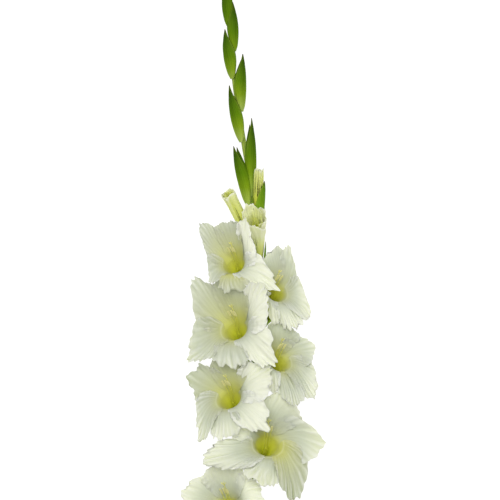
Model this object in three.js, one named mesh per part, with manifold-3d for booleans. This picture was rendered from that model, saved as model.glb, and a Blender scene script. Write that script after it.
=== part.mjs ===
// A cut white gladiolus, lying on its back with its florets turned up.
// Millimetres. +X is to the right and +Y towards the tip as seen from above; +Z is up, off the surface.
// The stem, its leaves, and each floret's tepals, stamens and green bracts are separate solids.
import * as THREE from "three";
import { mergeVertices } from "three/addons/utils/BufferGeometryUtils.js";
import Module from "manifold-3d";

const wasm = await Module();
wasm.setup();
const { Manifold, Mesh: SolidMesh } = wasm;

// ---------------------------------------------------------------- driving dimensions

const GAP = 0.35; // air left between neighbouring solids
const TEPAL_THICKNESS = 0.8;
const BRACT_THICKNESS = 0.9;
const LEAF_THICKNESS = 1.0;

// The stem: distance from the cut end, sideways place, height of its centre, and radius.
const STEM = [
  [0, -36, 7.6, 5.7],
  [160, -22, 7.5, 5.5],
  [340, -6, 8.1, 5.1],
  [480, 4, 8.8, 4.6],
  [580, 7, 9.0, 4.0],
  [680, 3, 8.0, 2.9],
  [735, -6, 6.8, 2.7],
  [800, -16, 5, 2.3],
  [860, -21.2, 3.2, 1.8],
  [900, -23.5, 1.386, 1.5],
];
const STEM_SIDES = 8;
const STEM_STEP = 45; // between the stem's rings

// Sheathing leaves: where the midrib of each lies, as [distance from the cut end, sideways off the stem],
// and half its width.
const LEAVES = [
  { midrib: [[14, 0], [66, -1], [104, -10], [148, -24], [300, -52]], width: 13 },
  { midrib: [[148, 0], [200, 0], [245, 7], [300, 22], [372, 44]], width: 12.5 },
];
const LEAF_CLEAR = 2.65; // from the stem's surface to the middle of a leaf that clasps it
const LEAF_OPENS = [36, 84]; // from its foot, where a leaf begins and ends to unroll
const LEAF_FLAT_RADIUS = 160; // of its slight trough beyond that

const TUBE = 56; // ovary top to mouth, along the floret's curved tube
const OVARY = 11;
const REACH_BACK = TUBE + OVARY;
const MOUTH_RADIUS = 16;
const TUBE_RADIUS = 2.7;
const THROAT_FROM = -34; // where the tube begins to widen into the throat, behind the mouth
const ROOT_DEPTH = 12; // how far the free tepals are sunk into the throat
const NODE_BELOW = 40; // how far below its mouth a floret leaves the stem
const FOOT = [1.6, 0.6]; // a floret's foot: out from the stem's side, and up
const FOOT_WAY = [0.42, 0.8, 0.42]; // the way it leaves: out, along the stem and up
const FOOT_LEAD = 22; // how long the tube holds its course at the foot
const MOUTH_LEAD = 22; // and behind the mouth
const STRAIGHT_FROM = [13, 18]; // off the axis, where the bent tube gives way to the straight mouth

const WAVE = 3.6; // height of the waves in a tepal's edges
const WAVES = 1.5; // how many there are along one edge
const LAYER = 0.85; // how far each whorl of tepals lies off the wall that both spring from
const LEAST_HALF = 1.2; // half the width of a tepal at its very tip
const CLOSES_FROM = 0.68; // share of a tepal's length from which it narrows to its tip
const ROOT_SHARE = 0.6; // of the way to the next midrib that a tepal reaches at its root
const WIDEST = 0.85; // and at most, further out
const ROUND = 1.2376; // lets six midribs evenly round the mouth blend into a circle

// The six tepals in order round the mouth: place in degrees, whorl (the two whorls lie one behind the
// other), half its width, how far its edges come forward, the height of the rim that it bends over and
// how closely it keeps to that rim from its root and from its tip, how blunt its outline is towards the
// tip, how deep the waves in its edges are, and how many strips its width is made of. "outer" is away from
// the stem.
const TEPALS = {
  inner_upper: {
    turn: 30, whorl: 1, width: 26, cup: 1.5, rim: 3,
    near: 0.9, far: 0.65, blunt: 2.6, loose: 0.8, strips: 4,
  },
  dorsal: {
    turn: 90, whorl: -1, width: 27, cup: 0, rim: -2,
    near: 0.6, far: 0.4, blunt: 2.6, loose: 0.3, strips: 4,
  },
  outer_upper: {
    turn: 150, whorl: 1, width: 28, cup: 0, rim: -2,
    near: 0.6, far: 0.4, blunt: 1.8, loose: 0.45, strips: 4,
  },
  outer_lower: {
    turn: 210, whorl: -1, width: 24, cup: 0, rim: 1.5,
    near: 0.85, far: 0.6, blunt: 2, loose: 0.7, strips: 3,
  },
  lip: {
    turn: 270, whorl: 1, width: 21, cup: -1, rim: 2.5,
    near: 0.9, far: 0.7, blunt: 3, loose: 0.7, strips: 3,
  },
  inner_lower: {
    turn: 330, whorl: -1, width: 24, cup: -1, rim: 2.5,
    near: 0.9, far: 0.7, blunt: 2.4, loose: 0.8, strips: 3,
  },
};

// The open florets from the lowest up. side is the side of the stem that each grows from, mouth the centre
// of its throat, yaw and pitch the way it faces, tips each tepal's end from the mouth: +X, +Y and +Z. changes
// are what sets a tepal apart from its fellows in the other florets; rows is its steps from root to tip.
const FLORETS = [
  {
    side: -1, mouth: [-25, 375, 53], yaw: -22, pitch: 30, size: 1.05,
    tips: {
      dorsal: [0, 44, -6], outer_upper: [-42, 14, -10], outer_lower: [-40, -36, 6],
      lip: [0, -48, 14], inner_lower: [40, -34, 10], inner_upper: [36, 16, -2],
    },
  },
  {
    side: 1, mouth: [18, 438, 56], yaw: 8, pitch: 28, size: 1.05,
    tips: {
      dorsal: [12, 48, -2], outer_upper: [57, -2, -6], outer_lower: [29, -60, 4],
      lip: [-8, -43, 12], inner_lower: [-66, -20, 10], inner_upper: [-30, 18, -8],
    },
    changes: {
      outer_upper: { blunt: 1.15, width: 28 },
      outer_lower: { width: 22, blunt: 1.9 },
      lip: { width: 22 },
      inner_lower: { width: 24, blunt: 2.6 },
      inner_upper: { width: 17 },
    },
  },
  {
    side: -1, mouth: [-23, 484, 55], yaw: -30, pitch: 30, size: 0.96,
    tips: {
      dorsal: [3, 42, -4], outer_upper: [-38, 21, -18], outer_lower: [-28, -44, 4],
      lip: [-4, -44, 12], inner_lower: [41, -34, 15], inner_upper: [45, 25, 12],
    },
    changes: {
      outer_upper: { blunt: 1.5, width: 24 },
      inner_upper: { width: 27 },
      inner_lower: { width: 23 },
    },
  },
  {
    side: 1, mouth: [31, 521, 52], yaw: 28, pitch: 30, size: 0.92,
    tips: {
      dorsal: [-6, 36, -7], outer_upper: [34, 13, -14], outer_lower: [35, -38, 2],
      lip: [13, -48, 7], inner_lower: [-14, -33, 0], inner_upper: [-18, 12, -10],
    },
    changes: {
      outer_upper: { width: 23, blunt: 1.1 },
      outer_lower: { width: 25 },
      inner_lower: { width: 18, rows: 4 },
      inner_upper: { width: 14, rows: 4 },
    },
  },
  {
    side: -1, mouth: [-17, 553, 55], yaw: -29, pitch: 30, size: 1,
    tips: {
      dorsal: [-2, 44, -4], outer_upper: [-42, 46, -25], outer_lower: [-45, -34, 2],
      lip: [-2, -42, 12], inner_lower: [42, -38, 15], inner_upper: [31, 41, 21],
    },
    changes: {
      outer_upper: { blunt: 1.25, width: 25 },
      outer_lower: { width: 24 },
      inner_upper: { width: 27 },
      inner_lower: { width: 25 },
    },
  },
  {
    side: 1, mouth: [28, 590, 50], yaw: 33, pitch: 30, size: 0.88,
    tips: {
      dorsal: [-13, 32, -6], outer_upper: [12, 43, -12], outer_lower: [33, -26, -4],
      lip: [14, -41, 5], inner_lower: [-6, -35, 2], inner_upper: [-15, 14, -10],
    },
    changes: {
      outer_upper: { width: 18, blunt: 1.1 },
      outer_lower: { width: 27, blunt: 2.4 },
      inner_lower: { width: 17, rows: 4 },
      inner_upper: { width: 13, rows: 4 },
    },
  },
  {
    side: -1, mouth: [-18, 618, 53], yaw: -28, pitch: 32, size: 0.88,
    tips: {
      dorsal: [-1, 39, -8], outer_upper: [-33, 36, -20], outer_lower: [-23, -20, -6],
      lip: [-5, -31, 10], inner_lower: [45, -28, 10.5], inner_upper: [13, 40, 16],
    },
    changes: {
      dorsal: { width: 23 },
      outer_upper: { width: 23, blunt: 1.35 },
      outer_lower: { width: 20 },
      lip: { width: 21 },
      inner_lower: { width: 20, blunt: 1.5 },
      inner_upper: { width: 26, blunt: 1.3 },
    },
  },
];

// The opening buds from the lowest up: the line each grows along, then its radius at places along it. Its
// petal tips are scallops round its rim, and "open" is how deep it is open at the end.
const OPENING = [
  {
    path: [[10.4, 608, 12.6], [9, 636, 21], [2.5, 661, 44]],
    radii: [[8.8, 2.2], [26, 5], [40, 8], [52, 10.6], [60, 12.4]],
    scallop: 6, lobes: 5, open: 20, turn: 0.4,
    bract: { turn: 180, wrap: 70, length: 34, stand: 3.8, flare: 2.2 },
  },
  {
    path: [[1.4, 634, 12.1], [-8, 657, 17.5], [-22, 685, 29]],
    radii: [[8.8, 2.2], [26, 4.9], [40, 6.2], [56, 6], [64, 6.8]],
    scallop: 2.6, lobes: 3, open: 9, turn: 1.2,
    bract: { turn: 190, wrap: 80, length: 34, stand: 3.6, flare: 3 },
  },
  {
    path: [[7, 657, 13], [8.6, 682, 17], [9.2, 709, 18]],
    radii: [[9, 2.2], [22, 4.4], [34, 4.8], [46, 4.8], [50, 4.6]],
    scallop: 3.4, lobes: 3, open: 5, turn: 0.2,
    bract: { turn: 28, wrap: 96, length: 37, stand: 3.9, flare: 0.2 },
  },
];

const INNER_SHORT = 6.5; // how much shorter the inner bract of a closed bud is than the outer one

// The closed green buds from the lowest up: base, middle and tip of each, half its width and depth, and the
// side its inner bract shows on. The lowest one's is nearly as long as the outer one.
const GREEN = [
  { path: [[-1.6, 672, 14.2], [-8, 704, 16], [-16.4, 733, 14]], width: 5.8, depth: 4.5, inner: 1, short: 1 },
  { path: [[1.4, 682, 11.6], [1, 722, 13], [1.5, 761.5, 11.5]], width: 5.2, depth: 4.2, inner: -1 },
  { path: [[-9, 737, 11.4], [-14, 764, 13.4], [-20.8, 794.5, 11]], width: 5.8, depth: 4.2, inner: 1 },
  { path: [[-8.4, 768, 9.6], [-9.6, 797, 11], [-7.4, 826.4, 9.6]], width: 5.6, depth: 4.1, inner: -1 },
  { path: [[-18, 801, 8.6], [-21, 826, 10.4], [-25.2, 851.3, 8.6]], width: 5.8, depth: 3.8, inner: 1 },
  { path: [[-15.6, 829, 7], [-17.2, 854, 7.8], [-17.6, 878.7, 6.6]], width: 5.2, depth: 3.5, inner: -1 },
  { path: [[-22.4, 855, 5.8], [-23.4, 878, 7], [-24, 901, 5.6]], width: 4.8, depth: 3.2, inner: 1 },
  { path: [[-20.6, 881, 4.4], [-20.2, 902, 5], [-22.6, 924, 3.6]], width: 4.2, depth: 2.8, inner: -1 },
];

// ---------------------------------------------------------------- small helpers

const vec = (x, y, z) => new THREE.Vector3(x, y, z);
const radians = THREE.MathUtils.degToRad;
const mix = THREE.MathUtils.lerp;
const ease = (x, low, high) => THREE.MathUtils.smoothstep(x, low, high);

// A smooth curve through rows of [place, value, value, ...], read at one place.
function along(rows, place) {
  const last = rows.length - 1;
  const i = Math.min(Math.max(rows.findIndex((row) => row[0] > place) - 1, 0), last - 1);
  const k = place >= rows[last][0] ? last - 1 : i;
  const span = rows[k + 1][0] - rows[k][0];
  const t = THREE.MathUtils.clamp((place - rows[k][0]) / span, 0, 1);
  const slope = (n, c) => {
    const a = rows[Math.max(n - 1, 0)];
    const b = rows[Math.min(n + 1, last)];
    return (b[c] - a[c]) / (b[0] - a[0]);
  };
  return rows[k].slice(1).map((value, j) => {
    const c = j + 1;
    const end = rows[k + 1][c];
    return (
      value * (2 * t ** 3 - 3 * t ** 2 + 1) +
      slope(k, c) * span * (t ** 3 - 2 * t ** 2 + t) +
      end * (3 * t ** 2 - 2 * t ** 3) +
      slope(k + 1, c) * span * (t ** 3 - t ** 2)
    );
  });
}

// A closed geometry from points and triangles, turned to face out.
function closedGeometry(points, triangles) {
  let volume = 0;
  for (const [a, b, c] of triangles) {
    volume += points[a].dot(points[b].clone().cross(points[c]));
  }
  const facing = volume < 0 ? triangles.map(([a, b, c]) => [a, c, b]) : triangles;
  const geometry = new THREE.BufferGeometry().setFromPoints(points);
  geometry.setIndex(facing.flat());
  return geometry;
}

// A solid through a row of rings with equally many points, closed flat at each end.
function loft(rings) {
  const sides = rings[0].length;
  const points = rings.flat();
  const triangles = [];
  for (let i = 0; i + 1 < rings.length; i++) {
    for (let j = 0; j < sides; j++) {
      const a = i * sides + j;
      const b = i * sides + ((j + 1) % sides);
      triangles.push([a, b, b + sides], [a, b + sides, a + sides]);
    }
  }
  const end = (rings.length - 1) * sides;
  for (let j = 1; j + 1 < sides; j++) {
    triangles.push([0, j + 1, j], [end, end + j, end + j + 1]);
  }
  return closedGeometry(points, triangles);
}

// A thin sheet about surface(s, t), with s from 0 to 1 along it and t from -1 to 1 across it.
// Both faces are split into triangles alike.
function sheet(surface, rows, columns, thickness) {
  const front = [];
  const back = [];
  const step = 1e-3;
  for (let i = 0; i <= rows; i++) {
    for (let j = 0; j <= columns; j++) {
      const s = i / rows;
      const t = (2 * j) / columns - 1;
      const down = surface(Math.min(s + step, 1), t).sub(surface(Math.max(s - step, 0), t));
      const over = surface(s, Math.min(t + step, 1)).sub(surface(s, Math.max(t - step, -1)));
      const normal = over.cross(down).normalize().multiplyScalar(thickness / 2);
      front.push(surface(s, t).add(normal));
      back.push(surface(s, t).sub(normal));
    }
  }
  const points = [...front, ...back];
  const width = columns + 1;
  const triangles = [];
  const other = front.length;
  for (let i = 0; i < rows; i++) {
    for (let j = 0; j < columns; j++) {
      const a = i * width + j;
      const [b, c, d] = [a + 1, a + width + 1, a + width];
      triangles.push([a, b, c], [a, c, d]);
      triangles.push([a + other, c + other, b + other], [a + other, d + other, c + other]);
    }
  }
  const rim = [];
  for (let j = 0; j < columns; j++) rim.push(j);
  for (let i = 0; i < rows; i++) rim.push(i * width + columns);
  for (let j = columns; j > 0; j--) rim.push(rows * width + j);
  for (let i = rows; i > 0; i--) rim.push(i * width);
  rim.forEach((a, n) => {
    const b = rim[(n + 1) % rim.length];
    triangles.push([b, a, a + other], [b, a + other, b + other]);
  });
  return closedGeometry(points, triangles);
}

// A geometry as a manifold-3d solid, and back.
function solid(geometry) {
  const merged = mergeVertices(geometry, 1e-4);
  return new Manifold(
    new SolidMesh({
      numProp: 3,
      vertProperties: new Float32Array(merged.attributes.position.array),
      triVerts: new Uint32Array(merged.index.array),
    }),
  );
}

function geometryOf(made) {
  const mesh = made.getMesh();
  const geometry = new THREE.BufferGeometry();
  geometry.setAttribute("position", new THREE.BufferAttribute(mesh.vertProperties, 3));
  geometry.setIndex(new THREE.BufferAttribute(mesh.triVerts, 1));
  geometry.computeVertexNormals();
  return geometry;
}

// The largest body of a solid, so that loose scraps and sealed hollows are left out.
function mainBody(made) {
  return made.decompose().reduce((best, body) => (body.volume() > best.volume() ? body : best));
}

const fuse = (geometries) => mainBody(Manifold.union(geometries.map(solid)));

// ---------------------------------------------------------------- the stem

function stemAt(place) {
  const [x, z, radius] = along(STEM, place);
  return { centre: vec(x, place, z), radius };
}

function stemGeometry(extra = 0) {
  const last = STEM[STEM.length - 1][0];
  const count = Math.round(last / STEM_STEP);
  const rings = [];
  for (let i = 0; i <= count; i++) {
    const { centre, radius } = stemAt((last * i) / count);
    centre.y += i === 0 ? -extra : i === count ? extra : 0;
    const ring = [];
    for (let j = 0; j < STEM_SIDES; j++) {
      const turn = ((j + 0.5) / STEM_SIDES) * 2 * Math.PI;
      const out = vec(Math.cos(turn), 0, Math.sin(turn)).multiplyScalar(radius + extra);
      ring.push(centre.clone().add(out));
    }
    rings.push(ring);
  }
  return loft(rings);
}

// ---------------------------------------------------------------- a floret's own frame

// Turns a floret's own coordinates into the part's. Its z runs out of the mouth, its y towards the dorsal
// tepal. Behind the mouth the tube bends round to the stem.
function floretPlace(spec) {
  const yaw = radians(spec.yaw);
  const pitch = radians(spec.pitch);
  const facing = vec(
    Math.sin(yaw) * Math.cos(pitch),
    Math.sin(pitch),
    Math.cos(yaw) * Math.cos(pitch),
  );
  const right = vec(Math.cos(yaw), 0, -Math.sin(yaw));
  const up = facing.clone().cross(right);
  const mouth = vec(...spec.mouth);
  const node = stemAt(spec.mouth[1] - NODE_BELOW);
  const base = node.centre.clone().add(vec(spec.side * (node.radius + FOOT[0]), 0, FOOT[1]));
  const leaving = vec(spec.side * FOOT_WAY[0], FOOT_WAY[1], FOOT_WAY[2]).normalize();
  const curve = new THREE.CubicBezierCurve3(
    base,
    base.clone().addScaledVector(leaving, FOOT_LEAD),
    mouth.clone().addScaledVector(facing, -MOUTH_LEAD),
    mouth,
  );
  const size = spec.size;
  const straight = (x, y, z) =>
    mouth.clone().addScaledVector(right, x).addScaledVector(up, y).addScaledVector(facing, z);
  const bent = (x, y, z) => {
    const t = THREE.MathUtils.clamp(1 + z / REACH_BACK, 0, 1);
    const tangent = curve.getTangent(t);
    const rise = tangent.clone().cross(right).normalize();
    const across = rise.clone().cross(tangent);
    return curve.getPoint(t).addScaledVector(across, x).addScaledVector(rise, y);
  };
  const place = (x, y, z) => {
    const reach = Math.hypot(x, y);
    const plain = straight(x * size, y * size, z * size);
    if (z >= 0 || reach > STRAIGHT_FROM[1]) return plain;
    return bent(x * size, y * size, z).lerp(plain, ease(reach, ...STRAIGHT_FROM));
  };
  // A step from the mouth in the part's coordinates, as one in the floret's own.
  place.inward = (step) => {
    const own = vec(...step).divideScalar(size);
    return vec(own.dot(right), own.dot(up), own.dot(facing));
  };
  return place;
}

// Middle of the perianth wall, as a radius about the axis, at a place z behind the mouth.
function wallRadius(z) {
  const swell = 1.7;
  const widen = Math.max(0, 1 - z / THROAT_FROM);
  return TUBE_RADIUS + swell * ease(z, -TUBE, -26) + (MOUTH_RADIUS - TUBE_RADIUS - swell) * widen ** 1.35;
}

const polar = (place, radius, turn, z) =>
  place(radius * Math.cos(turn), radius * Math.sin(turn), z);

// ---------------------------------------------------------------- tepals

// A tepal's midrib in the floret's own coordinates, read from 0 at its root in the throat to 1 at its tip.
function midribOf(tepal, place) {
  const end = place.inward(tepal.tip);
  const root = new THREE.Vector2(wallRadius(-ROOT_DEPTH), -ROOT_DEPTH);
  const tip = new THREE.Vector2(Math.hypot(end.x, end.y), end.z);
  const rim = new THREE.Vector2(MOUTH_RADIUS, tepal.rim);
  const line = new THREE.CubicBezierCurve(
    root,
    root.clone().lerp(rim, tepal.near),
    tip.clone().lerp(rim, tepal.far),
    tip,
  );
  const rootTurn = radians(tepal.turn);
  const further = Math.atan2(end.y, end.x) - rootTurn;
  const swing = Math.atan2(Math.sin(further), Math.cos(further));
  return (s) => {
    const p = line.getPoint(s);
    const turn = rootTurn + swing * ease(s, 0.05, 1);
    return vec(p.x * Math.cos(turn), p.x * Math.sin(turn), p.y);
  };
}

// The one wall that all six tepals lie on: turn counts the tepals round the mouth, s runs from root to tip.
function funnel(midribs, turn, s) {
  const below = Math.floor(turn);
  const f = turn - below;
  const count = midribs.length;
  const [a, b, c, d] = [-1, 0, 1, 2].map((n) => midribs[(below + n + 2 * count) % count](s));
  const leave = c.clone().sub(a).multiplyScalar(ROUND / 2);
  const arrive = d.clone().sub(b).multiplyScalar(ROUND / 2);
  return vec(0, 0, 0)
    .addScaledVector(b, 2 * f ** 3 - 3 * f ** 2 + 1)
    .addScaledVector(leave, f ** 3 - 2 * f ** 2 + f)
    .addScaledVector(c, 3 * f ** 2 - 2 * f ** 3)
    .addScaledVector(arrive, f ** 3 - f ** 2);
}

// One tepal's middle surface: s runs from its root in the throat to its tip, t across it.
function tepalSurface(tepal, index, side, midribs, place) {
  const step = 1e-3;
  const count = midribs.length;
  return (s, t) => {
    const next = midribs[(index + 1) % count](s);
    const spacing = (next.distanceTo(midribs[(index + count - 1) % count](s)) * ROUND) / 2;
    const closing = Math.max(0, (s - CLOSES_FROM) / (1 - CLOSES_FROM));
    const full = Math.max(tepal.width * (1 - closing ** tepal.blunt), LEAST_HALF) / spacing;
    const share = full / (1 + (full / WIDEST) ** 4) ** 0.25;
    const turn = index + t * mix(ROOT_SHARE, share, ease(s, 0, 0.3));
    const middle = funnel(midribs, turn, s);
    const over = funnel(midribs, turn + step, s).sub(middle);
    const down = funnel(midribs, turn, s + step).sub(middle);
    const normal = over.cross(down).normalize().multiplyScalar(side);
    const beat = Math.sin(2 * Math.PI * (WAVES * s + tepal.phase + (t < 0 ? 0.37 : 0)));
    const wave = WAVE * tepal.loose * ease(s, 0.25, 0.75) * Math.abs(t) ** 2.4 * beat;
    const layer = -LAYER * tepal.whorl * ease(s, 0, 0.25);
    const cup = tepal.cup * t ** 2 * ease(s, 0.2, 0.8);
    middle.addScaledVector(normal, wave + layer + cup);
    return place(middle.x, middle.y, middle.z);
  };
}

// The six tepals of a floret, mirrored for the right-hand side.
function tepalsOf(spec) {
  return Object.entries(TEPALS).map(([part, base], index) => ({
    ...base,
    rows: 5,
    ...(spec.changes ?? {})[part],
    turn: spec.side > 0 ? 180 - base.turn : base.turn,
    tip: spec.tips[part],
    phase: 0.29 * index + 0.17 * spec.mouth[1],
  }));
}

// The tube and throat, one shell closed at its base.
function tubeGeometry(place) {
  const sides = 8;
  const ring = (radius, z) =>
    Array.from({ length: sides }, (_, j) => polar(place, radius, (j / sides) * 2 * Math.PI, z));
  const rim = -8; // hidden behind the roots of the tepals
  const outer = [-TUBE, -32, -19, rim];
  const inner = [rim, -20, THROAT_FROM];
  const wall = (z) => mix(0.75, 0.85, ease(z, -30, rim)); // half its thickness
  return loft([
    ...outer.map((z) => ring(wallRadius(z) + wall(z), z)),
    ...inner.map((z) => ring(wallRadius(z) - wall(z), z)),
  ]);
}

function perianth(spec) {
  const place = floretPlace(spec);
  const tepals = tepalsOf(spec);
  const midribs = tepals.map((tepal) => midribOf(tepal, place));
  const blades = tepals.map((tepal, index) => {
    const surface = tepalSurface(tepal, index, spec.side, midribs, place);
    return sheet(surface, tepal.rows, tepal.strips, TEPAL_THICKNESS);
  });
  return fuse([tubeGeometry(place), ...blades]);
}

// ---------------------------------------------------------------- stamens

// A rod of varying radius through points in a floret's own frame.
function rod(place, points, radii, sides) {
  const curve = new THREE.CatmullRomCurve3(points.map((p) => vec(...p)));
  const count = radii.length - 1;
  const rings = radii.map((radius, i) => {
    const t = i / count;
    const middle = curve.getPoint(t);
    const tangent = curve.getTangent(t);
    const side = vec(1, 0, 0).cross(tangent).normalize();
    const other = tangent.clone().cross(side);
    return Array.from({ length: sides }, (_, j) => {
      const turn = (j / sides) * 2 * Math.PI;
      const p = middle
        .clone()
        .addScaledVector(side, radius * Math.cos(turn))
        .addScaledVector(other, radius * Math.sin(turn));
      return place(p.x, p.y, p.z);
    });
  });
  return loft(rings);
}

// Three filaments, each swelling into its anther, and the style, which parts into three stigmas. They spring
// together from a column on the floor of the throat and lie towards the dorsal tepal.
function stamens(spec) {
  const place = floretPlace(spec);
  const floor = THROAT_FROM + 0.6;
  const column = -16;
  const parts = [rod(place, [[0, 1, floor], [0, 1, column]], [1.4, 2.6], 6)];
  for (const way of [-1, 0, 1]) {
    const x = way * 3.2;
    const y = way === 0 ? 9.5 : 8.5;
    const line = [[way * 1.5, 0.7, column - 1], [x, y, 3], [x, y + 1, 8], [x, y + 1.6, 13.5]];
    parts.push(rod(place, line, [0.6, 0.6, 1.2, 0.6], 4));
  }
  const style = [[0, 2.6, column - 1], [0, 13, 6], [0, 15.6, 14.5], [0, 18, 18]];
  parts.push(rod(place, style, [0.6, 0.6, 0.7, 0.7], 3));
  for (const way of [-1, 1]) {
    parts.push(rod(place, [[0, 15.4, 14], [way * 3, 16.8, 18]], [0.6, 0.8], 3));
  }
  return fuse(parts);
}

// ---------------------------------------------------------------- bracts of an open floret

const OVARY_RADIUS = 3;
const BRACT_FROM = 3; // from the ovary's foot to the bracts' foot

// A bract's middle surface: wrap is half the angle it clasps at its foot, stand how far it stands off the
// ovary, and flare how much further its tip does.
function bractSurface(place, bract, swell) {
  return (s, t) => {
    const z = -REACH_BACK + BRACT_FROM + bract.length * s;
    const spread = radians(bract.wrap) * (1 - s ** 2.4) + 0.04;
    const radius = OVARY_RADIUS * swell + bract.stand * ease(s, 0, 0.3) + bract.flare * s * s;
    return polar(place, radius, radians(bract.turn) + t * spread, z);
  };
}

function ovaryGeometry(place, swell) {
  const shape = [
    [-REACH_BACK, 1.6],
    [-REACH_BACK + BRACT_FROM, OVARY_RADIUS],
    [-REACH_BACK + 7, OVARY_RADIUS],
    [-REACH_BACK + (OVARY - 0.6) * swell, 2],
  ];
  return loft(
    shape.map(([z, radius]) =>
      Array.from({ length: 6 }, (_, j) => polar(place, radius * swell, (j / 6) * 2 * Math.PI, z)),
    ),
  );
}

// The ovary with the outer bract round it on one side and the shorter inner bract on the other. swell is the
// ovary's size against an open floret's.
function bracts(place, outer, swell) {
  const inner = {
    ...outer,
    turn: outer.turn + 180,
    wrap: 0.72 * outer.wrap,
    length: 0.8 * outer.length,
    stand: outer.stand - 0.6,
    flare: 0.6 * outer.flare,
  };
  return fuse([
    ovaryGeometry(place, swell),
    sheet(bractSurface(place, outer, swell), 4, 4, BRACT_THICKNESS),
    sheet(bractSurface(place, inner, swell), 3, 2, BRACT_THICKNESS),
  ]);
}

function floretBracts(spec) {
  const outer = { turn: spec.side < 0 ? 200 : -20, wrap: 84, length: 52, stand: 4.6, flare: 4.5 };
  return bracts(floretPlace(spec), outer, 1);
}

// ---------------------------------------------------------------- opening buds

// Coordinates along a bud's own line: z is measured as in a floret, from the back of its ovary.
function linePlace(path, length) {
  const curve = new THREE.CatmullRomCurve3(path.map((p) => vec(...p)));
  return (x, y, z) => {
    const t = (z + REACH_BACK) / length;
    const held = THREE.MathUtils.clamp(t, 0, 1);
    const tangent = curve.getTangent(held);
    const across = tangent.clone().cross(vec(0, 0, 1)).normalize();
    const rise = across.clone().cross(tangent);
    const middle = curve.getPoint(held).addScaledVector(tangent, (t - held) * length);
    return middle.addScaledVector(across, x).addScaledVector(rise, y);
  };
}

// Petals furled into a cup: up the outside to a scalloped rim, then down the inside to a floor.
function furled(bud) {
  const last = bud.radii[bud.radii.length - 1][0];
  const place = linePlace(bud.path, last);
  const first = bud.radii[0][0];
  const sides = 15;
  const ring = (z, inset) =>
    Array.from({ length: sides }, (_, j) => {
      const turn = (j / sides) * 2 * Math.PI;
      const [radius] = along(bud.radii, z);
      const near = ease(z, first + 0.4 * (last - first), last);
      const lobe = Math.cos(bud.lobes * (turn + bud.turn));
      const folded = 1 + 0.1 * near * Math.cos(3 * (turn - bud.turn));
      return polar(place, radius * folded - inset, turn, -REACH_BACK + z + bud.scallop * lobe * near);
    });
  const [lipWall, wall] = [0.9, 1.5];
  const outer = [0, 0.16, 0.36, 0.6, 0.82, 1].map((f) => ring(mix(first, last, f), 0));
  const inner = [1, 0.55, 0.08].map((f) => ring(mix(last - bud.open, last, f), f === 1 ? lipWall : wall));
  return fuse([loft([...outer, ...inner])]);
}

function budBracts(bud) {
  const place = linePlace(bud.path, bud.radii[bud.radii.length - 1][0]);
  return bracts(place, bud.bract, 0.8);
}

// ---------------------------------------------------------------- closed green buds

// A closed bud: the outer bract a keeled spindle, the inner one narrower, showing at one side and the tip.
// extra makes it larger all over, for the room that its neighbours leave it.
function greenBud(bud, extra = 0) {
  const [base, middle, tip] = bud.path.map((p) => vec(...p));
  base.y -= extra;
  tip.y += extra;
  const outer = new THREE.CatmullRomCurve3([base, middle, tip]);
  const shift = vec(bud.inner * 1.9, 0, -0.5);
  const short = bud.short ?? INNER_SHORT;
  const inner = new THREE.CatmullRomCurve3([
    base.clone().addScaledVector(shift, 0.3),
    middle.clone().add(shift),
    tip.clone().add(vec(bud.inner * (3.4 - 0.25 * short), -short, -0.4)),
  ]);
  const spindle = (curve, width, depth, keeled, sides) => {
    const profile = [[0, 0.25], [0.13, 0.68], [0.38, 1], [0.62, 0.92], [0.84, 0.5], [1, 0.1]];
    return loft(
      profile.map(([t, swell]) => {
        const centre = curve.getPoint(t);
        return Array.from({ length: sides }, (_, j) => {
          const turn = (j / sides) * 2 * Math.PI;
          const keel = 1 + keeled * Math.max(0, Math.sin(turn)) ** 6;
          const x = Math.cos(turn) * (width * swell + extra);
          const z = Math.sin(turn) * (depth * swell + extra) * keel;
          return centre.clone().add(vec(x, 0, z));
        });
      }),
    );
  };
  return fuse([
    spindle(outer, bud.width, bud.depth, 0.14, 8),
    spindle(inner, bud.width * 0.8, bud.depth * 0.86, 0, 6),
  ]);
}

// ---------------------------------------------------------------- leaves

// A leaf clasps the stem from below, then opens flat and bears away to one side over the surface.
function leaf(spec) {
  const first = spec.midrib[0][0];
  const last = spec.midrib[spec.midrib.length - 1][0];
  const surface = (s, t) => {
    const y = mix(first, last, s);
    const [away] = along(spec.midrib, y);
    const node = stemAt(y);
    const hug = node.radius + LEAF_CLEAR;
    const opened = ease(y - first, ...LEAF_OPENS);
    const bend = mix(1 / hug, 1 / LEAF_FLAT_RADIUS, opened ** 0.3);
    const closing = Math.max(0, (s - 0.55) / 0.45);
    const foot = mix(0.75, 1, ease(s, 0, 0.06));
    const half = Math.max(spec.width * mix(1, 0.9, opened) * (1 - closing ** 2) * foot, 1);
    return vec(
      node.centre.x + away + Math.sin(bend * half * t) / bend,
      y,
      LEAF_THICKNESS / 2 + (1 - Math.cos(bend * half * t)) / bend,
    );
  };
  return sheet(surface, 12, 4, LEAF_THICKNESS);
}

// ---------------------------------------------------------------- assembly

const finish = (color, roughness) =>
  new THREE.MeshStandardMaterial({ color, roughness, metalness: 0, side: THREE.DoubleSide });
const MATERIALS = {
  petal: finish(0xeef0e0, 0.55),
  opening: finish(0xd8dda4, 0.55),
  stamen: finish(0xe9dfae, 0.6),
  bract: finish(0x6f9a34, 0.5),
  bud: finish(0x4f7f14, 0.5),
  leaf: finish(0x4c7a2a, 0.5),
  stem: finish(0x86a04a, 0.45),
};

const flower = new THREE.Group();
function add(name, made, material) {
  const mesh = new THREE.Mesh(geometryOf(made), MATERIALS[material]);
  mesh.name = name;
  flower.add(mesh);
}

const stem = solid(stemGeometry());
const stemRoom = solid(stemGeometry(GAP));
add("stem", stem, "stem");
LEAVES.forEach((spec, index) => add(`leaf_${index + 1}`, fuse([leaf(spec)]), "leaf"));

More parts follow.
